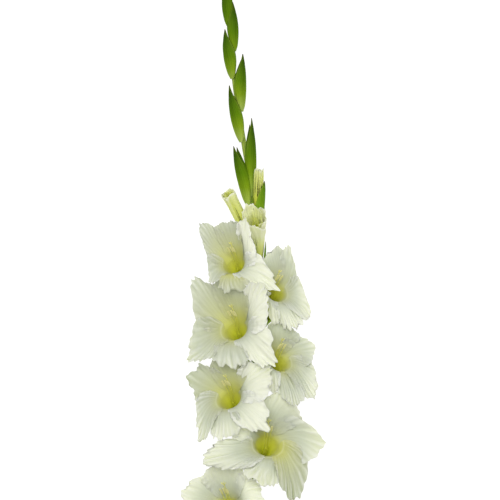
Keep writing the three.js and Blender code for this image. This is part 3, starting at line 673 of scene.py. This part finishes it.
def floret_place(spec):
    """Turns arrays of a floret's own coordinates into the design's. z runs out of the mouth."""
    yaw, pitch = math.radians(spec["yaw"]), math.radians(spec["pitch"])
    facing = np.array([math.sin(yaw) * math.cos(pitch), math.sin(pitch), math.cos(yaw) * math.cos(pitch)])
    right = np.array([math.cos(yaw), 0, -math.sin(yaw)])
    up = np.cross(facing, right)
    mouth = np.array(spec["mouth"], float)
    centre, radius = stem_at(np.array(mouth[1] - NODE_BELOW))
    side, size = spec["side"], spec["size"]
    base = centre + [side * (radius + FOOT[0]), 0, FOOT[1]]
    leaving = unit([side * FOOT_WAY[0], FOOT_WAY[1], FOOT_WAY[2]])
    line = [base, base + leaving * FOOT_LEAD, mouth - facing * MOUTH_LEAD, mouth]

    def place(x, y, z):
        x, y, z = np.broadcast_arrays(*(np.asarray(v, float) for v in (x, y, z)))
        turn = np.stack([right, up, facing])
        straight = mouth + np.stack([x, y, z], -1) * size @ turn
        point, tangent = bezier(line, np.clip(1 + z / REACH_BACK, 0, 1))
        rise = unit(np.cross(tangent, right))
        across = np.cross(rise, tangent)
        bent = point + across * (x * size)[..., None] + rise * (y * size)[..., None]
        share = np.where(z >= 0, 1.0, ease(np.hypot(x, y), *STRAIGHT_FROM))[..., None]
        return mix(bent, straight, share)

    def inward(step):
        own = np.asarray(step, float) / size
        return np.array([own @ right, own @ up, own @ facing])

    return place, inward


def wall_radius(z):
    swell = 1.7
    widen = np.maximum(0, 1 - np.asarray(z, float) / THROAT_FROM)
    return TUBE_RADIUS + swell * ease(z, -TUBE, -26) + (MOUTH_RADIUS - TUBE_RADIUS - swell) * widen**1.35


def polar(place, radius, turn, z):
    return place(radius * np.cos(turn), radius * np.sin(turn), z)


# ---- tepals

TEPAL_ROWS = 84  # free part, root to tip
THROAT_ROWS = 22  # the part that is joined to its neighbours
TEPAL_COLUMNS = 64
SHARE = math.pi / 6  # half of each tepal's part of the tube


def midrib(tepal, end):
    """A tepal's midrib in the floret's own coordinates, read from 0 at its root to 1 at its tip."""
    root = np.array([float(wall_radius(-ROOT_DEPTH)), -ROOT_DEPTH, 0])
    tip = np.array([math.hypot(end[0], end[1]), end[2], 0])
    rim = np.array([MOUTH_RADIUS, tepal["rim"], 0])
    line = [root, mix(root, rim, tepal["near"]), mix(tip, rim, tepal["far"]), tip]
    further = math.atan2(end[1], end[0]) - tepal["turn"]
    swing = math.atan2(math.sin(further), math.cos(further))

    def at(s):
        out, up, _ = np.moveaxis(bezier(line, s)[0], -1, 0)
        turn = tepal["turn"] + swing * ease(s, 0.05, 1)
        return np.stack([out * np.cos(turn), out * np.sin(turn), up], -1)

    return at


def funnel(midribs, turn, s):
    """The one wall that all six tepals lie on: turn counts the tepals round the mouth, s runs root to tip."""
    below = np.floor(turn).astype(int)
    f = (turn - below)[..., None]
    lines = np.stack([m(s) for m in midribs])

    def pick(n):
        return np.take_along_axis(lines, (n % len(midribs))[None, ..., None], 0)[0]

    a, b, c, d = pick(below - 1), pick(below), pick(below + 1), pick(below + 2)
    return hermite(b, (c - a) * ROUND / 2, c, (d - b) * ROUND / 2, f)


def crease(wave):
    """Turns a smooth wave into sharp ridges with wide hollows between them."""
    return 0.5 - np.abs(wave) ** 0.7


def tepal_surface(index, tepal, side, midribs, place, beat_from, rng):
    """The middle surface of one tepal. s from -1 to 0 is its part of the tube, 0 to 1 the free blade.

    It gives the points, their place to the side, and painted shade in hollows (above 0), highlight on ridges.
    """
    edge_rough, edge_fine = ripple(rng, 4, 7), ripple(rng, 11, 16)
    end_rough, end_fine = ripple(rng, 2.5, 4.5), ripple(rng, 8, 12)
    ruffle_a, ruffle_b = ripple(rng, 2.4, 4.2), ripple(rng, 2.4, 4.2)
    frill_a, frill_b = ripple(rng, 7, 11), ripple(rng, 7, 11)
    fold_broad, fold_mid, fold_fine = ripple(rng, 1.0, 1.9), ripple(rng, 3.6, 5.6), ripple(rng, 7.5, 10.5)
    crease_a, crease_b, drift = ripple(rng, 2.0, 3.6), ripple(rng, 4.0, 6.5), ripple(rng, 1.2, 2.4)
    sway = ripple(rng, 0.8, 1.6)
    pleat, loose = tepal["pleat"], tepal["loose"]
    # How deep the painted shade in the fold hollows is.
    crease_shade = tepal.get("crease_shade", min(pleat, MOST_CREASE_SHADE - pleat))

    def surface(s, t):
        free = np.clip(s, 0, 1)
        reach = np.abs(t)
        edge_side = np.where(t < 0, 0.37, 0.0)
        spacing = midribs[(index + 1) % 6](free) - midribs[(index - 1) % 6](free)
        spacing = np.linalg.norm(spacing, axis=-1) * ROUND / 2
        closing = np.maximum(0, (free - CLOSES_FROM) / (1 - CLOSES_FROM))
        beside = free + edge_side
        teeth = JAGS[0] * edge_rough(beside) + JAGS[1] * edge_fine(beside)
        jag = 1 + ease(free, 0.15, 0.5) * teeth
        share = np.maximum(tepal["width"] * (1 - closing ** tepal["blunt"]) * jag, 0.35) / spacing
        share = share / (1 + (share / WIDEST) ** 4) ** 0.25
        off = t * mix(0.5, share, ease(free, 0, 0.3))
        veer = off + 0.04 * sway(free)
        torn = TEARS[0] * end_rough(veer) + TEARS[1] * end_fine(veer)
        length = free * (1 + ease(free, 0.6, 1) * torn * tepal.get("ragged", 1))

        step = 1e-3
        middle = funnel(midribs, index + off, length)
        over = funnel(midribs, index + off + step, length) - middle
        down = funnel(midribs, index + off, length + step) - middle
        normal = unit(np.cross(over, down)) * side

        beat = np.sin(TAU * (WAVES * free + beat_from + edge_side))
        wave = WAVE * loose * ease(free, 0.25, 0.75) * reach**2.4 * beat
        layer = -LAYER * tepal["whorl"] * ease(free, 0, 0.25)
        ruffle = np.where(t < 0, ruffle_a(free), ruffle_b(free)) * RUFFLE * reach**3
        frill = np.where(t < 0, frill_a(free), frill_b(free)) * FRILL * reach**6
        rim = np.maximum(reach**2, ease(free, 0.55, 1.0))
        folds = (
            fold_broad(veer) * FOLDS[0] * mix(MIDDLE_FOLDS[0], 1, rim)
            + fold_mid(veer) * FOLDS[1] * mix(MIDDLE_FOLDS[1], 1, rim)
            + fold_fine(veer) * FOLDS[2] * rim
        )
        # Sharp ridges where the tissue was folded in the bud, wandering a little as they run outwards.
        wander = veer + 0.035 * drift(free * 1.5 + veer)
        ridge = crease(crease_a(wander)) * RIDGES[0] + crease(crease_b(wander)) * RIDGES[1]
        folds = folds + ridge * mix(MIDDLE_RIDGES, 1, rim)
        cup = tepal["cup"] * reach**2 * ease(free, 0.2, 0.8)
        detail = ease(free, 0.15, 0.6) * (0.35 + 0.65 * loose) * (ruffle + frill)
        lift = wave + layer + detail + cup + ease(free, 0.15, 0.8) * pleat * folds
        own = middle + normal * lift[..., None]
        # The tube: a sixth of a turn of its wall, from the ovary up to the root of the blade.
        deep = mix(-TUBE, -ROOT_DEPTH, np.clip(s, -1, 0) + 1)
        wall = wall_radius(deep)
        angle = tepal["turn"] - side * t * SHARE
        tube = np.stack([wall * np.cos(angle), wall * np.sin(angle), deep], -1)
        own = np.where((s < 0)[..., None], tube, own)
        # Painted shade in the fold hollows (above 0) and painted highlight on the ridges (below 0).
        hollow = np.clip(-(ridge + 0.6 * fold_fine(veer)) * mix(MIDDLE_FOLD_SHADE, 1, rim), -1, 1)
        hollow = hollow * ease(free, 0.15, 0.5) * crease_shade
        # A painted highlight along the crest of the rim round the throat.
        crest = tepal["crest"] * np.exp(-(((free - CREST[0]) / CREST[1]) ** 2))
        return place(*np.moveaxis(own, -1, 0)), off, hollow - crest

    return surface


def make_tepals(name, spec, seed):
    """The whole perianth as one mesh: six blades that grow out of one tube."""
    place, inward = floret_place(spec)
    side = spec["side"]
    tepals = [{**dict(zip(TRAITS, row)), **spec["changes"].get(part, {})} for part, row in TEPALS.items()]
    for tepal in tepals:
        tepal["turn"] = math.radians(180 - tepal["turn"] if side > 0 else tepal["turn"])
    midribs = [midrib(tepal, inward(tip)) for tepal, tip in zip(tepals, spec["tips"])]
    ahead = np.linspace(0, 1, TEPAL_ROWS + 1)
    s_values = np.concatenate([np.linspace(-1, 0, THROAT_ROWS, endpoint=False), 1 - (1 - ahead) ** 1.35])
    t_values = np.linspace(-1, 1, TEPAL_COLUMNS + 1)
    s, t = np.meshgrid(s_values, t_values, indexing="ij")
    thickness = mix(1.1, 0.42, ease(s, -0.8, 0.25)) * mix(1, 0.5, np.abs(t) ** 3 * ease(s, 0, 0.2))
    # The rim closes the blade, and stays open along the tube, where the neighbours join on.
    rows, columns = len(s_values) - 1, TEPAL_COLUMNS
    faces = sheet_faces(rows, columns, [border(rows, columns, THROAT_ROWS), list(range(columns + 1))])
    form = Form()
    for index, tepal in enumerate(tepals):
        beat_from = 0.29 * index + 0.17 * spec["mouth"][1]
        rng = np.random.default_rng(seed * 10 + index)
        surface = tepal_surface(index, tepal, side, midribs, place, beat_from, rng)

        def middle(s, t):
            return surface(s, t)[0]

        points = sheet_points(middle, s, t, -1, thickness)
        _, off, hollow = surface(s, t)
        # Depth pales from the throat along the blade, and is held low on the wall tepals as painted shade.
        pale_and_shade = np.minimum(tepal["tint"] * np.maximum(s, 0) ** (PALES - tepal["tint"]), 1)
        whitened = tepal["white"] * np.maximum(np.abs(t), ease(s, 0.9, 1.02)) * ease(s, 0, 0.3)
        shown = dict(depth=np.where(s > 0, pale_and_shade, s), across=off, edge=whitened, hollow=hollow)
        form.add(points, faces, **shown)
    piece = form.make(name + "_perianth", name + "_tepals", PETAL)
    face_outward(piece.data, join=2e-6)  # the six blades share one tube
    return piece


# ---- stamens and style


def rod(form, place, points, radii, sides, depth, squash=1.0, rings=14):
    """A smooth rod through points in a floret's own frame, with rounded ends."""
    curve = through(points)
    t, turn = np.linspace(0, 1, rings), around(sides)[None, :, None]
    tangent = tangent_of(curve, t)
    side = unit(np.cross([1.0, 0, 0], tangent))
    other = np.cross(tangent, side)
    radius = along(np.column_stack([np.linspace(0, 1, len(radii)), radii]), t)[..., 0]
    radius = radius * np.sqrt(np.clip(1 - np.abs(2 * t - 1) ** 24, 0.02, 1))
    ring = np.cos(turn) * side[:, None, :] + squash * np.sin(turn) * other[:, None, :]
    world = place(*np.moveaxis(curve(t)[:, None, :] + ring * radius[:, None, None], -1, 0))
    shown = np.repeat(mix(depth[0], depth[1], t), sides)
    form.add(world, ring_faces(rings, sides), depth=shown, across=np.tile(np.arange(sides) / sides, rings))


def make_stamens(name, spec):
    """Three filaments, each with its long two-lobed anther, and the style with three spreading stigmas."""
    place, _ = floret_place(spec)
    form = Form()
    floor, column = THROAT_FROM + 0.6, -16
    reach = 4.5  # how much further out the anthers stand than the filaments' knee
    rod(form, place, [(0, 1, floor), (0, 1, -25), (0, 1, column)], [1.4, 1.6, 1.3], 10, (-1, -0.8))
    for way in (-1, 0, 1):
        x, y = way * 3.2, 9.5 if way == 0 else 8.5
        line = [(way * 1.5, 0.7, column - 1), (x * 0.8, y * 0.6, -7)]
        line += [(x, y, reach - 1.5), (x, y + 0.6, reach + 1.5)]
        rod(form, place, line, [0.6, 0.4, 0.32, 0.28], 8, (-0.8, 0.1))
        for lobe in (-0.55, 0.55):
            anther = [(x + lobe, y + 0.1, reach - 1.6), (x + lobe * 1.2, y + 1.1, reach + 2.8)]
            anther += [(x + lobe, y + 1.7, reach + 7.5)]
            rod(form, place, anther, [0.3, 0.55, 0.62, 0.52, 0.3], 10, (0.9, 1.0))
    style = [(0, 2.6, column - 1), (0, 9, -5), (0, 12.6, 4), (0, 14.6, 11)]
    rod(form, place, style, [0.5, 0.4, 0.4, 0.45], 8, (-0.6, 0.3), rings=22)
    for way in (-1, 0, 1):
        rise = 2.2 if way == 0 else 1.2
        line = [(0, 14.5, 10.7), (way * 1.3, 14.5 + rise * 0.5, 12.4), (way * 2.4, 14.5 + rise, 14)]
        rod(form, place, line, [0.4, 0.45, 0.75, 0.45], 8, (0.2, 0.6), squash=0.55)
    return form.make(name + "_stamen_set", name + "_stamens", STAMEN)


# ---- bracts

OVARY_RADIUS = 3
BRACT_FROM = 3


def bract_sheet(form, place, bract, swell, rng):
    ribs, edge = ripple(rng, 4, 7), ripple(rng, 2, 4)

    def surface(s, t):
        z = -REACH_BACK + BRACT_FROM + bract["length"] * s
        spread = math.radians(bract["wrap"]) * (1 - s**2.4) + 0.02
        radius = OVARY_RADIUS * swell + bract["stand"] * ease(s, 0, 0.3) + bract["flare"] * s * s
        radius = radius + 0.14 * ribs(t) * ease(s, 0.1, 0.5)
        radius = radius + 0.35 * edge(s) * np.abs(t) ** 4 * ease(s, 0.2, 0.6)
        return polar(place, radius, math.radians(bract["turn"]) + t * spread, z)

    s, t = sheet_grid(48, 28)
    thickness = mix(0.85, 0.35, np.maximum(np.abs(t) ** 3, ease(s, 0.6, 1.0)))
    form.add(*closed_sheet(surface, s, t, thickness), depth=s, across=t)


def make_bracts(name, node, place, outer, swell, seed):
    """The ovary with the outer bract round it on one side and the shorter inner bract on the other."""
    rng = np.random.default_rng(seed)
    form = Form()
    z = np.linspace(0, (OVARY - 0.6) * swell, 14)
    shape = along([[0, 1.6], [BRACT_FROM, OVARY_RADIUS], [7, OVARY_RADIUS], [10.4, 2]], z / swell)[..., 0]
    sides = 18
    turn = around(sides)
    lobed = 1 + 0.05 * np.cos(3 * turn)
    rings = polar(place, (shape * swell)[:, None] * lobed, turn[None, :], (z - REACH_BACK)[:, None])
    form.add(rings, ring_faces(len(z), sides), depth=0.1, across=0.0)
    inner = dict(
        turn=outer["turn"] + 180, wrap=0.72 * outer["wrap"], length=0.8 * outer["length"],
        stand=outer["stand"] - 0.6, flare=0.6 * outer["flare"],
    )
    for bract in (outer, inner):
        bract_sheet(form, place, bract, swell, rng)
    return form.make(name, node, BRACT)


# ---- opening buds


def line_place(path, length):
    """Coordinates along a bud's own line, with z measured as in a floret, from the back of its ovary."""
    curve = through(path)

    def place(x, y, z):
        x, y, z = np.broadcast_arrays(*(np.asarray(v, float) for v in (x, y, z)))
        t = (z + REACH_BACK) / length
        held = np.clip(t, 0, 1)
        tangent = tangent_of(curve, held)
        across = unit(np.cross(tangent, [0, 0, 1.0]))
        rise = np.cross(across, tangent)
        middle = curve(held) + tangent * ((t - held) * length)[..., None]
        return middle + across * x[..., None] + rise * y[..., None]

    return place


def make_furled(index, bud):
    """Petals furled round each other into a cup, each a sheet of its own whose edge lies over the next."""
    place = line_place(bud["path"], bud["radii"][-1][0])
    first, last = bud["radii"][0][0], bud["radii"][-1][0]
    frilled, flare = bud["frill"], bud["spread"]
    form = Form()
    s, t = sheet_grid(64, 60)
    thickness = mix(0.8, 0.35, ease(s, 0.2, 1.0))
    tucked = ease(t, 0.35, 0.95)  # where a petal runs in under its neighbour, and takes painted shade
    # Three outer petals, three inner ones between them, and the youngest rolled up in the middle.
    layers = [(k, 1.0, 0.0, 0.0) for k in range(3)] + [(k, 0.76, 0.5, 0.3) for k in range(3)]
    layers += [(k, 0.42, 0.2, 0.5) for k in range(2)]
    for number, (k, scale, shift, from_share) in enumerate(layers):
        rng = np.random.default_rng(500 + 20 * index + number)
        pleats, frill, edge = ripple(rng, 1.8, 3.2), ripple(rng, 4.5, 7.5), ripple(rng, 1.2, 2.6)
        teeth = ripple(rng, 5, 9)
        count = 2 if scale < 0.5 else 3
        start = mix(first, last, from_share)
        top = last - (1 - scale) * (bud["sink"] + 0.25 * bud["open"])

        def surface(s, t):
            near = ease(s, 0.35, 1)
            rim = 0.9 * (1 - np.abs(t) ** 1.25) - 0.45 + 0.16 * edge(t) + 0.05 * frilled * teeth(t)
            rim = near * rim
            turn = TAU * (k + shift) / count + bud["turn"] + t * (TAU / 2 / count) * 1.3
            z = mix(start, top, s) + bud["scallop"] * rim - bud["lean"] * near * np.sin(turn)
            radius = along(bud["radii"], np.clip(z, first, last))[..., 0]
            spiral = 1 - 0.075 * (t + 1)
            folds = (0.4 + 0.5 * frilled) * (0.7 * pleats(t) * near + 0.55 * frill(t) * near**2)
            folds = folds + 0.5 * crease(frill(t + 0.2)) * ease(s, 0.2, 0.7)
            curl = flare * near**2.5 * (0.75 + 0.5 * edge(t + 0.3)) * scale
            spread = np.maximum(radius * scale * spiral + folds + curl, 0.3)
            return polar(place, spread, turn, -REACH_BACK + z)

        points, faces = closed_sheet(surface, s, t, thickness)
        # Paler towards the ends, lower for the inner petals, and painted shade where a petal runs in under
        # the next.
        pale_and_shade = mix(bud["dark"], bud["pale"], s**1.3) * scale**1.2 - 0.3 * (1 - scale) - bud["tuck_shade"] * tucked
        # Painted shade in the frills' hollows and painted highlight on their ridges.
        hollow = -np.clip(crease(frill(t + 0.2)), -1, 1) * ease(s, 0.3, 0.8) * min(1, frilled)
        form.add(points, faces, depth=pale_and_shade, across=0.6 * t, edge=ease(s, 0.85, 1) * scale, hollow=hollow)
    # What closes the cup below the inner petals.
    sides, rings = 24, 8
    z = np.linspace(first, last - bud["open"], rings)
    r = along(bud["radii"], z)[..., 0] * 0.7
    turn = around(sides)
    plug = polar(place, r[:, None] * (1 + 0 * turn), turn[None, :], (z - REACH_BACK)[:, None])
    form.add(plug, ring_faces(rings, sides), depth=-0.9, across=0.0, edge=0.0, hollow=0.0)
    return form.make(f"bud_{index}_corolla", f"bud_{index}_petals", OPENING_PETAL)


# ---- closed green buds


def make_green_bud(index, base, middle, tip, width, depth):
    """A closed bud: the outer bract wrapped round it, its edge drawn up to the tip, over the inner one."""
    base, middle, tip = np.array([base, middle, tip], float)
    way = 1 if index % 2 else -1  # the side that the inner bract shows on
    shift = np.array([way * 1.9, 0, -0.5])
    short = 1 if index == 1 else INNER_SHORT  # the lowest bud's inner bract is nearly as long as the outer
    outer = through([base, middle, tip])
    beside_tip = [way * (3.4 - 0.25 * short), -short, -0.4]
    inner = through([base + 0.3 * shift, middle + shift, tip + beside_tip])
    profile = [[0, 0.25], [0.13, 0.68], [0.38, 1], [0.62, 0.92], [0.84, 0.5], [1, 0.06]]
    form = Form()

    def ring(curve, t, turn, width, depth, keeled):
        swell = along(profile, t)[..., 0]
        keel = 1 + keeled * np.maximum(0, np.sin(turn)) ** 6
        offset = np.stack([np.cos(turn) * width * swell, 0 * turn, np.sin(turn) * depth * swell * keel], -1)
        return curve(t) + offset

    # The inner bract and the bud in it.
    sides, rings = 28, 48
    t, turn = np.meshgrid(np.linspace(0, 1, rings), around(sides), indexing="ij")
    flute = 1 + 0.02 * np.cos(6 * turn)
    points = ring(inner, t, turn, width * 0.8 * flute, depth * 0.86 * flute, 0)
    dusk = max(0, index - 4) / 8  # the youngest buds are dark to the foot
    form.add(points, ring_faces(rings, sides), depth=mix(t, 1, dusk), across=np.cos(turn) * 0.6)

    # The outer bract.
    rng = np.random.default_rng(900 + index)
    ribs = ripple(rng, 3, 6)
    centre = math.radians(90 + 34 * way)

    def surface(s, t):
        wrap = math.radians(1) * mix(168, 62, ease(s, 0.15, 0.98))
        grow = 1 + 0.012 * ribs(t) + 0.02 * (t * way > 0) * np.abs(t)
        return ring(outer, s, centre + t * wrap, width * grow, depth * grow, 0.14)

    s, t = sheet_grid(56, 40)
    sheet = closed_sheet(surface, s, t, mix(0.5, 0.22, np.abs(t) ** 2))
    form.add(*sheet, depth=mix(s, 1, dusk), across=t)
    return form.make(f"green_bud_{index}_spathe", f"green_bud_{index}", BUD)


# ---- leaves


def make_leaf(index, spec):
    """A leaf clasps the stem from below, then opens flat and bears away to one side over the surface."""
    rng = np.random.default_rng(700 + index)
    first, last = spec["midrib"][0][0], spec["midrib"][-1][0]
    ribs, edge, lift = ripple(rng, 5, 8), ripple(rng, 2, 4), ripple(rng, 1.2, 2.4)

    def surface(s, t):
        y = mix(first, last, s)
        away = along(spec["midrib"], y)[..., 0]
        centre, radius = stem_at(y)
        hug = radius + LEAF_CLEAR
        opened = ease(y - first, *LEAF_OPENS)
        bend = mix(1 / hug, 1 / LEAF_FLAT_RADIUS, opened**0.3)
        closing = np.maximum(0, (s - 0.55) / 0.45)
        foot = mix(0.75, 1, ease(s, 0, 0.06))
        half = np.maximum(spec["width"] * mix(1, 0.9, opened) * (1 - closing**2) * foot, 0.4)
        half = half * (1 + 0.012 * edge(s))
        up = LEAF_THICKNESS / 2 + (1 - np.cos(bend * half * t)) / bend
        up = up + opened * (0.9 * np.abs(t) ** 2 * (1 + lift(s)) + 0.12 * (1 + ribs(t)))
        return np.stack([centre[..., 0] + away + np.sin(bend * half * t) / bend, y, up], -1)

    s, t = sheet_grid(150, 40)
    points, faces = closed_sheet(surface, s, t, mix(LEAF_THICKNESS, 0.4, np.abs(t) ** 2))
    points[:, 2] = np.maximum(points[:, 2], 0.0)
    form = Form()
    form.add(points, faces, depth=s, across=t)
    return form.make(f"leaf_{index}_blade", f"leaf_{index}", LEAF)


# ---- the flower

make_stem()
for index, spec in enumerate(LEAVES, 1):
    make_leaf(index, spec)
for index, spec in enumerate(FLORETS, 1):
    name = f"floret_{index}"
    make_tepals(name, spec, index)
    make_stamens(name, spec)
    wraps = dict(turn=200 if spec["side"] < 0 else -20, wrap=84, length=52, stand=4.6, flare=4.5)
    make_bracts(name + "_spathe", name + "_bracts", floret_place(spec)[0], wraps, 1, 300 + index)
for index, bud in enumerate(OPENING, 1):
    make_furled(index, bud)
    place = line_place(bud["path"], bud["radii"][-1][0])
    make_bracts(f"bud_{index}_spathe", f"bud_{index}_bracts", place, bud["bract"], 0.8, 400 + index)
for index, bud in enumerate(GREEN, 1):
    make_green_bud(index, *bud)

# ---- floor, light and camera


def make_floor():
    size, drop = 20.0, 0.0004
    data = bpy.data.meshes.new("floor")
    corners = [(-size, -size, -drop), (size, -size, -drop), (size, size, -drop), (-size, size, -drop)]
    data.from_pydata(corners, [], [(0, 1, 2, 3)])
    material, _, shader = new_material("floor")
    finish_shader(
        shader, Base_Color=(0.2, 0.2, 0.2, 1), Roughness=0.9, Specular_IOR_Level=0.1,
        Emission_Color=(1, 1, 1, 1), Emission_Strength=0.94,
    )
    data.materials.append(material)
    floor = put("floor", data)


def make_light(name, place, target, size, power, colour):
    data = bpy.data.lights.new(name, "AREA")
    data.shape = "DISK"
    data.size = size
    data.energy = power
    data.color = colour
    back = unit(np.array(place) - np.array(target))
    side = unit(np.cross([0, 1, 0.01], back))
    up = np.cross(back, side)
    turn = np.eye(4)
    turn[:3] = np.column_stack([side, up, back, place])
    put(name, data).matrix_world = Matrix(turn.tolist())


def make_camera():
    centre = (np.array([VIEW["x"], VIEW["y"], 0.0]) + SHIFT) * MM
    data = bpy.data.cameras.new("camera")
    height, petals = VIEW["height"] * MM, 45 * MM
    data.lens = data.sensor_width / 2 * (height - petals) / (VIEW["side"] / 2 * MM)
    data.clip_end = 100
    camera = put("camera", data)
    camera.location = (centre[0], centre[1], height)
    bpy.context.scene.camera = camera
    return centre


make_floor()
view_centre = make_camera()
aim = (view_centre[0], view_centre[1], 0.03)
make_light("key", (aim[0] - 0.2, aim[1] + 0.5, 2.2), aim, 1.5, 32, (1.0, 0.99, 0.97))
make_light("fill", (aim[0] + 1.2, aim[1] - 0.6, 1.4), aim, 1.4, 3, (0.97, 0.99, 1.0))

world = bpy.data.worlds.new("studio")
world.use_nodes = True
world.node_tree.nodes["Background"].inputs[0].default_value = (1, 1, 1, 1)
world.node_tree.nodes["Background"].inputs[1].default_value = 0.43
bpy.context.scene.world = world
bpy.context.scene.view_settings.view_transform = "Standard"
